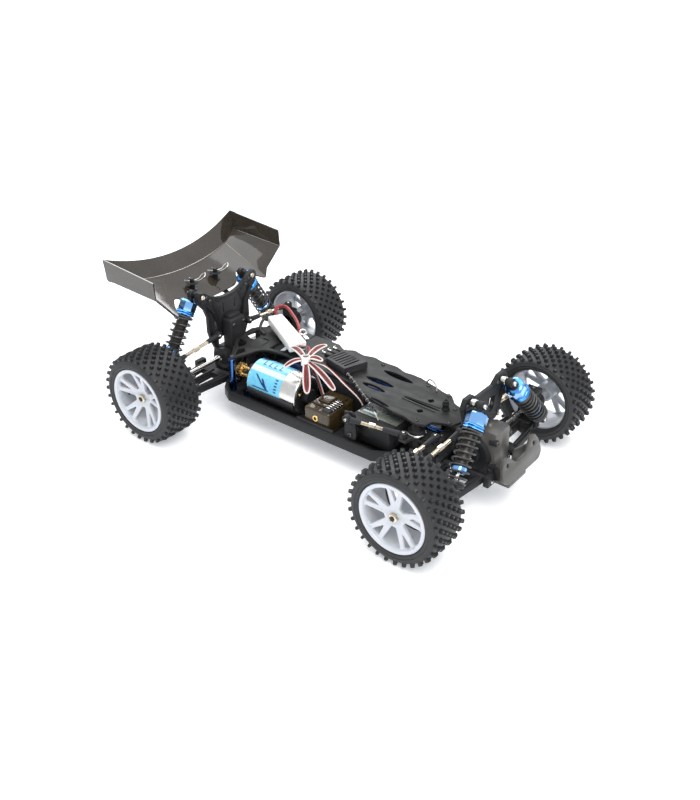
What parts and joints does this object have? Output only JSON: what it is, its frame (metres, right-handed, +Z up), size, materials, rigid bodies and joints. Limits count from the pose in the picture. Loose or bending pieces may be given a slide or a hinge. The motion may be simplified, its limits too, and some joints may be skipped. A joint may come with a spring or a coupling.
{
  "type": "rc buggy",
  "caption": "Radio-controlled four-wheel-drive off-road buggy chassis with working suspension, steering and drive, smoked rear wing and no body shell.",
  "frame": {"origin": "on the ground under the middle of the overall length and width", "axes": "+X forward, +Y to the driver's left, +Z up"},
  "size_m": [0.3942, 0.2544, 0.1421],
  "materials": {
    "black_composite": "fine moulded texture, satin black",
    "grey_composite": "dark grey moulded composite",
    "white_nylon": "white moulded nylon, slightly glossy",
    "tyre_rubber": "soft black rubber, matt",
    "blue_anodised": "blue anodised aluminium, with black plastic lower body",
    "spring_steel": "black coated spring steel",
    "bright_steel": "bright steel with black moulded ends",
    "brass": "turned brass",
    "shaft_aluminium": "blue anodised aluminium shaft, black gear",
    "motor_metal": "silver can with a light blue wrap",
    "smoked_sheet": "smoked polycarbonate sheet, very glossy",
    "receiver_case": "smoked translucent plastic case",
    "battery_wrap": "blue shrink wrap over round cells",
    "wire_insulation": "red, white and black wire insulation"
  },
  "bodies": {
    "chassis": {"chassis_tub": "black_composite", "upper_deck": "grey_composite", "front_gearbox": "black_composite", "rear_gearbox": "black_composite", "front_shock_tower": "black_composite", "rear_shock_tower": "black_composite", "front_bumper": "grey_composite", "rear_wing": "smoked_sheet", "steering_servo": "black_composite", "motor": "motor_metal", "battery_pack": "battery_wrap", "receiver_box": "receiver_case", "speed_controller": "black_composite", "wiring_loom": "wire_insulation"},
    "front_left_lower_arm": {"front_left_lower_arm": "black_composite"},
    "front_left_hub_carrier": {"front_left_hub_carrier": "black_composite"},
    "front_left_camber_link": {"front_left_camber_link": "bright_steel"},
    "front_left_driveshaft": {"front_left_driveshaft": "bright_steel"},
    "front_left_shock_shaft": {"front_left_shock_shaft": "bright_steel"},
    "front_left_shock_body": {"front_left_shock_body": "blue_anodised", "front_left_spring": "spring_steel"},
    "front_left_wheel": {"front_left_rim": "white_nylon", "front_left_tyre": "tyre_rubber"},
    "front_left_knuckle": {"front_left_knuckle": "black_composite"},
    "front_left_tie_rod": {"front_left_tie_rod": "bright_steel"},
    "front_right_lower_arm": {"front_right_lower_arm": "black_composite"},
    "front_right_hub_carrier": {"front_right_hub_carrier": "black_composite"},
    "front_right_camber_link": {"front_right_camber_link": "bright_steel"},
    "front_right_driveshaft": {"front_right_driveshaft": "bright_steel"},
    "front_right_shock_shaft": {"front_right_shock_shaft": "bright_steel"},
    "front_right_shock_body": {"front_right_shock_body": "blue_anodised", "front_right_spring": "spring_steel"},
    "front_right_wheel": {"front_right_rim": "white_nylon", "front_right_tyre": "tyre_rubber"},
    "front_right_knuckle": {"front_right_knuckle": "black_composite"},
    "front_right_tie_rod": {"front_right_tie_rod": "bright_steel"},
    "rear_left_lower_arm": {"rear_left_lower_arm": "black_composite"},
    "rear_left_hub_carrier": {"rear_left_hub_carrier": "black_composite"},
    "rear_left_camber_link": {"rear_left_camber_link": "bright_steel"},
    "rear_left_driveshaft": {"rear_left_driveshaft": "bright_steel"},
    "rear_left_shock_shaft": {"rear_left_shock_shaft": "bright_steel"},
    "rear_left_shock_body": {"rear_left_shock_body": "blue_anodised", "rear_left_spring": "spring_steel"},
    "rear_left_wheel": {"rear_left_rim": "white_nylon", "rear_left_tyre": "tyre_rubber"},
    "rear_right_lower_arm": {"rear_right_lower_arm": "black_composite"},
    "rear_right_hub_carrier": {"rear_right_hub_carrier": "black_composite"},
    "rear_right_camber_link": {"rear_right_camber_link": "bright_steel"},
    "rear_right_driveshaft": {"rear_right_driveshaft": "bright_steel"},
    "rear_right_shock_shaft": {"rear_right_shock_shaft": "bright_steel"},
    "rear_right_shock_body": {"rear_right_shock_body": "blue_anodised", "rear_right_spring": "spring_steel"},
    "rear_right_wheel": {"rear_right_rim": "white_nylon", "rear_right_tyre": "tyre_rubber"},
    "steering_link": {"steering_link": "black_composite"},
    "servo_saver": {"servo_saver": "black_composite"},
    "drag_link": {"drag_link": "bright_steel"},
    "servo_horn": {"servo_horn": "black_composite"},
    "motor_pinion": {"motor_pinion": "brass"},
    "centre_driveshaft": {"centre_driveshaft": "shaft_aluminium"}
  },
  "joints": [
    {"name": "front_left_suspension", "type": "hinge", "parent": "chassis", "child": "front_left_lower_arm", "pos_m": [0.15505, 0.024, 0.03], "axis": [1, 0, 0], "range_deg": [-10, 10], "stiffness_Nm_per_rad": 1.6, "springref_deg": -4.08},
    {"name": "front_left_hub_pin", "type": "hinge", "parent": "front_left_lower_arm", "child": "front_left_hub_carrier", "pos_m": [0.15505, 0.078, 0.03], "axis": [1, 0, 0], "range_deg": [-10.3, 10.3]},
    {"name": "front_left_camber_ball", "type": "hinge", "parent": "chassis", "child": "front_left_camber_link", "pos_m": [0.14705, 0.022, 0.0625], "axis": [1, 0, 0], "range_deg": [-9.94, 9.94]},
    {"name": "front_left_driveshaft_ball", "type": "hinge", "parent": "chassis", "child": "front_left_driveshaft", "pos_m": [0.15505, 0.022, 0.042], "axis": [1, 0, 0], "range_deg": [-9.23, 9.23]},
    {"name": "front_left_shock_bolt", "type": "hinge", "parent": "chassis", "child": "front_left_shock_body", "pos_m": [0.16505, 0.023, 0.094], "axis": [1, 0, 0], "range_deg": [-3.94, 3.94]},
    {"name": "front_left_shock_travel", "type": "slide", "parent": "front_left_shock_body", "child": "front_left_shock_shaft", "axis": [-0.0929, -0.677, 0.7301], "range_m": [-0.00776, 0.00776], "deforming": ["front_left_spring"]},
    {"name": "front_left_kingpin", "type": "hinge", "parent": "front_left_hub_carrier", "child": "front_left_knuckle", "pos_m": [0.15505, 0.085, 0.042], "axis": [0, 0, 1], "range_deg": [-20, 20]},
    {"name": "front_left_tie_rod_ball", "type": "hinge", "parent": "steering_link", "child": "front_left_tie_rod", "pos_m": [0.12705, 0.026, 0.0518], "axis": [1, 0, 0], "range_deg": [-10.12, 10.12]},
    {"name": "front_left_wheel_spin", "type": "hinge", "parent": "front_left_knuckle", "child": "front_left_wheel", "pos_m": [0.15505, 0.11, 0.042], "axis": [0, 1, 0], "continuous": true},
    {"name": "front_right_suspension", "type": "hinge", "parent": "chassis", "child": "front_right_lower_arm", "pos_m": [0.15505, -0.024, 0.03], "axis": [-1, 0, 0], "range_deg": [-10, 10], "stiffness_Nm_per_rad": 1.6, "springref_deg": -4.08},
    {"name": "front_right_hub_pin", "type": "hinge", "parent": "front_right_lower_arm", "child": "front_right_hub_carrier", "pos_m": [0.15505, -0.078, 0.03], "axis": [-1, 0, 0], "range_deg": [-10.3, 10.3]},
    {"name": "front_right_camber_ball", "type": "hinge", "parent": "chassis", "child": "front_right_camber_link", "pos_m": [0.14705, -0.022, 0.0625], "axis": [-1, 0, 0], "range_deg": [-9.94, 9.94]},
    {"name": "front_right_driveshaft_ball", "type": "hinge", "parent": "chassis", "child": "front_right_driveshaft", "pos_m": [0.15505, -0.022, 0.042], "axis": [-1, 0, 0], "range_deg": [-9.23, 9.23]},
    {"name": "front_right_shock_bolt", "type": "hinge", "parent": "chassis", "child": "front_right_shock_body", "pos_m": [0.16505, -0.023, 0.094], "axis": [-1, 0, 0], "range_deg": [-3.94, 3.94]},
    {"name": "front_right_shock_travel", "type": "slide", "parent": "front_right_shock_body", "child": "front_right_shock_shaft", "axis": [-0.0929, 0.677, 0.7301], "range_m": [-0.00776, 0.00776], "deforming": ["front_right_spring"]},
    {"name": "front_right_kingpin", "type": "hinge", "parent": "front_right_hub_carrier", "child": "front_right_knuckle", "pos_m": [0.15505, -0.085, 0.042], "axis": [0, 0, 1], "range_deg": [-20.5, 20.5]},
    {"name": "front_right_tie_rod_ball", "type": "hinge", "parent": "steering_link", "child": "front_right_tie_rod", "pos_m": [0.12705, -0.026, 0.0518], "axis": [-1, 0, 0], "range_deg": [-10.12, 10.12]},
    {"name": "front_right_wheel_spin", "type": "hinge", "parent": "front_right_knuckle", "child": "front_right_wheel", "pos_m": [0.15505, -0.11, 0.042], "axis": [0, 1, 0], "continuous": true},
    {"name": "rear_left_suspension", "type": "hinge", "parent": "chassis", "child": "rear_left_lower_arm", "pos_m": [-0.11995, 0.026, 0.03], "axis": [1, 0, 0], "range_deg": [-10, 10], "stiffness_Nm_per_rad": 1.6, "springref_deg": -4.23},
    {"name": "rear_left_hub_pin", "type": "hinge", "parent": "rear_left_lower_arm", "child": "rear_left_hub_carrier", "pos_m": [-0.11995, 0.082, 0.03], "axis": [1, 0, 0], "range_deg": [-10.3, 10.3]},
    {"name": "rear_left_camber_ball", "type": "hinge", "parent": "chassis", "child": "rear_left_camber_link", "pos_m": [-0.11915, 0.021, 0.066], "axis": [1, 0, 0], "range_deg": [-9.88, 9.88]},
    {"name": "rear_left_driveshaft_ball", "type": "hinge", "parent": "chassis", "child": "rear_left_driveshaft", "pos_m": [-0.11995, 0.022, 0.042], "axis": [1, 0, 0], "range_deg": [-8.99, 8.99]},
    {"name": "rear_left_shock_bolt", "type": "hinge", "parent": "chassis", "child": "rear_left_shock_body", "pos_m": [-0.13795, 0.033, 0.107], "axis": [1, 0, 0], "range_deg": [-2.8, 2.8]},
    {"name": "rear_left_shock_travel", "type": "slide", "parent": "rear_left_shock_body", "child": "rear_left_shock_shaft", "axis": [0, -0.5377, 0.8432], "range_m": [-0.00854, 0.00854], "deforming": ["rear_left_spring"]},
    {"name": "rear_left_wheel_spin", "type": "hinge", "parent": "rear_left_hub_carrier", "child": "rear_left_wheel", "pos_m": [-0.11995, 0.11, 0.042], "axis": [0, 1, 0], "continuous": true},
    {"name": "rear_right_suspension", "type": "hinge", "parent": "chassis", "child": "rear_right_lower_arm", "pos_m": [-0.11995, -0.026, 0.03], "axis": [-1, 0, 0], "range_deg": [-10, 10], "stiffness_Nm_per_rad": 1.6, "springref_deg": -4.23},
    {"name": "rear_right_hub_pin", "type": "hinge", "parent": "rear_right_lower_arm", "child": "rear_right_hub_carrier", "pos_m": [-0.11995, -0.082, 0.03], "axis": [-1, 0, 0], "range_deg": [-10.3, 10.3]},
    {"name": "rear_right_camber_ball", "type": "hinge", "parent": "chassis", "child": "rear_right_camber_link", "pos_m": [-0.11915, -0.021, 0.066], "axis": [-1, 0, 0], "range_deg": [-9.88, 9.88]},
    {"name": "rear_right_driveshaft_ball", "type": "hinge", "parent": "chassis", "child": "rear_right_driveshaft", "pos_m": [-0.11995, -0.022, 0.042], "axis": [-1, 0, 0], "range_deg": [-8.99, 8.99]},
    {"name": "rear_right_shock_bolt", "type": "hinge", "parent": "chassis", "child": "rear_right_shock_body", "pos_m": [-0.13795, -0.033, 0.107], "axis": [-1, 0, 0], "range_deg": [-2.8, 2.8]},
    {"name": "rear_right_shock_travel", "type": "slide", "parent": "rear_right_shock_body", "child": "rear_right_shock_shaft", "axis": [0, 0.5377, 0.8432], "range_m": [-0.00854, 0.00854], "deforming": ["rear_right_spring"]},
    {"name": "rear_right_wheel_spin", "type": "hinge", "parent": "rear_right_hub_carrier", "child": "rear_right_wheel", "pos_m": [-0.11995, -0.11, 0.042], "axis": [0, 1, 0], "continuous": true},
    {"name": "steering_link_slide", "type": "slide", "parent": "chassis", "child": "steering_link", "axis": [0, 1, 0], "range_m": [-0.00988, 0.00988]},
    {"name": "servo_saver_pivot", "type": "hinge", "parent": "chassis", "child": "servo_saver", "pos_m": [0.10705, -0.023, 0.03], "axis": [0, 0, 1], "range_deg": [-28.91, 28.91]},
    {"name": "drag_link_slide", "type": "slide", "parent": "chassis", "child": "drag_link", "axis": [1, 0, 0], "range_m": [-0.00748, 0.00748]},
    {"name": "servo_output", "type": "hinge", "parent": "chassis", "child": "servo_horn", "pos_m": [0.05605, -0.0464, 0.037], "axis": [0, 1, 0], "range_deg": [-23.82, 23.82]},
    {"name": "centre_shaft_spin", "type": "hinge", "parent": "chassis", "child": "centre_driveshaft", "pos_m": [-0.01995, 0, 0.04], "axis": [1, 0, 0], "continuous": true},
    {"name": "motor_spin", "type": "hinge", "parent": "chassis", "child": "motor_pinion", "pos_m": [-0.08895, -0.026, 0.043], "axis": [1, 0, 0], "continuous": true}
  ],
  "couplings": [
    {"joint": "front_left_hub_pin", "follows": "front_left_suspension", "ratio": -1},
    {"joint": "front_left_camber_ball", "follows": "front_left_suspension", "ratio": 0.96394},
    {"joint": "front_left_driveshaft_ball", "follows": "front_left_suspension", "ratio": 0.89294},
    {"joint": "front_left_shock_bolt", "follows": "front_left_suspension", "ratio": 0.36359},
    {"joint": "front_left_shock_travel", "follows": "front_left_suspension", "m_per_rad": 0.042717},
    {"joint": "front_left_tie_rod_ball", "follows": "front_left_suspension", "ratio": 0.98191},
    {"joint": "front_right_hub_pin", "follows": "front_right_suspension", "ratio": -1},
    {"joint": "front_right_camber_ball", "follows": "front_right_suspension", "ratio": 0.96394},
    {"joint": "front_right_driveshaft_ball", "follows": "front_right_suspension", "ratio": 0.89294},
    {"joint": "front_right_shock_bolt", "follows": "front_right_suspension", "ratio": 0.36359},
    {"joint": "front_right_shock_travel", "follows": "front_right_suspension", "m_per_rad": 0.042717},
    {"joint": "front_right_tie_rod_ball", "follows": "front_right_suspension", "ratio": 0.98191},
    {"joint": "front_right_wheel_spin", "follows": "front_left_wheel_spin", "ratio": 1},
    {"joint": "rear_left_hub_pin", "follows": "rear_left_suspension", "ratio": -1},
    {"joint": "rear_left_camber_ball", "follows": "rear_left_suspension", "ratio": 0.95752},
    {"joint": "rear_left_driveshaft_ball", "follows": "rear_left_suspension", "ratio": 0.86865},
    {"joint": "rear_left_shock_bolt", "follows": "rear_left_suspension", "ratio": 0.24962},
    {"joint": "rear_left_shock_travel", "follows": "rear_left_suspension", "m_per_rad": 0.047198},
    {"joint": "rear_left_wheel_spin", "follows": "front_left_wheel_spin", "ratio": 1},
    {"joint": "rear_right_hub_pin", "follows": "rear_right_suspension", "ratio": -1},
    {"joint": "rear_right_camber_ball", "follows": "rear_right_suspension", "ratio": 0.95752},
    {"joint": "rear_right_driveshaft_ball", "follows": "rear_right_suspension", "ratio": 0.86865},
    {"joint": "rear_right_shock_bolt", "follows": "rear_right_suspension", "ratio": 0.24962},
    {"joint": "rear_right_shock_travel", "follows": "rear_right_suspension", "m_per_rad": 0.047198},
    {"joint": "rear_right_wheel_spin", "follows": "front_left_wheel_spin", "ratio": 1},
    {"joint": "front_right_kingpin", "follows": "front_left_kingpin", "ratio": 1},
    {"joint": "steering_link_slide", "follows": "front_left_kingpin", "m_per_rad": -0.027435},
    {"joint": "servo_saver_pivot", "follows": "front_left_kingpin", "ratio": -1.4304},
    {"joint": "drag_link_slide", "follows": "front_left_kingpin", "m_per_rad": -0.020576},
    {"joint": "servo_output", "follows": "front_left_kingpin", "ratio": -1.1762},
    {"joint": "centre_shaft_spin", "follows": "front_left_wheel_spin", "ratio": 2.6},
    {"joint": "motor_spin", "follows": "front_left_wheel_spin", "ratio": -8.0476}
  ]
}
